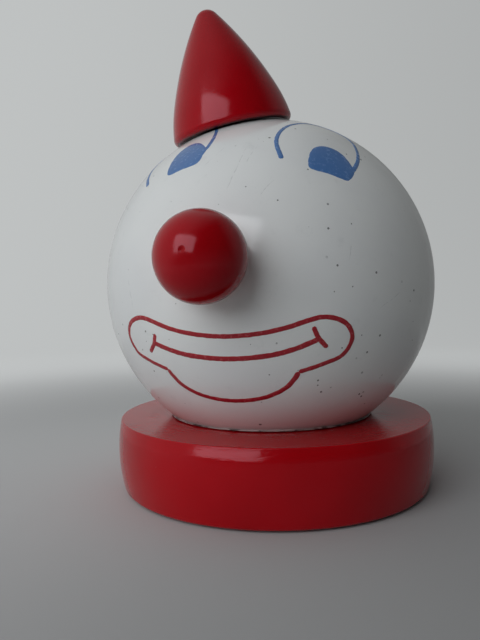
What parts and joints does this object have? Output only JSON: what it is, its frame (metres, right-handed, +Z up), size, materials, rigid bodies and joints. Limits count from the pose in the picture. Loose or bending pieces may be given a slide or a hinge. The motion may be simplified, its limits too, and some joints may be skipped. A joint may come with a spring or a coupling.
{
  "type": "clown head ornament",
  "caption": "Painted wooden clown: a ball head with a ball nose and a cocked pointed hat, turning on a round flat base.",
  "frame": {"origin": "centre of the felt's underside, on the axis that the head turns about", "axes": "+Z up through the base and the head, -Y the way the face looks, +X the clown's left"},
  "size_m": [0.093, 0.1122, 0.135],
  "materials": {
    "base_red": "gloss red enamel on turned wood",
    "head_white": "gloss white enamel on turned wood",
    "nose_red": "gloss red enamel on turned wood",
    "hat_red": "gloss red enamel on turned wood",
    "bare_wood": "bare beech, sanded",
    "steel": "zinc plated",
    "felt": "pressed wool felt"
  },
  "bodies": {
    "base": {"base_disc": "base_red", "base_felt": "felt"},
    "head": {"head_ball": "head_white", "neck_dowel": "bare_wood", "neck_washer": "steel", "neck_screw": "steel", "nose_ball": "nose_red", "nose_dowel": "bare_wood", "hat_cone": "hat_red", "hat_dowel": "bare_wood"}
  },
  "joints": [
    {"name": "head_turn", "type": "hinge", "parent": "base", "child": "head", "pos_m": [0, 0, 0.0202], "axis": [0, 0, 1], "continuous": true}
  ]
}
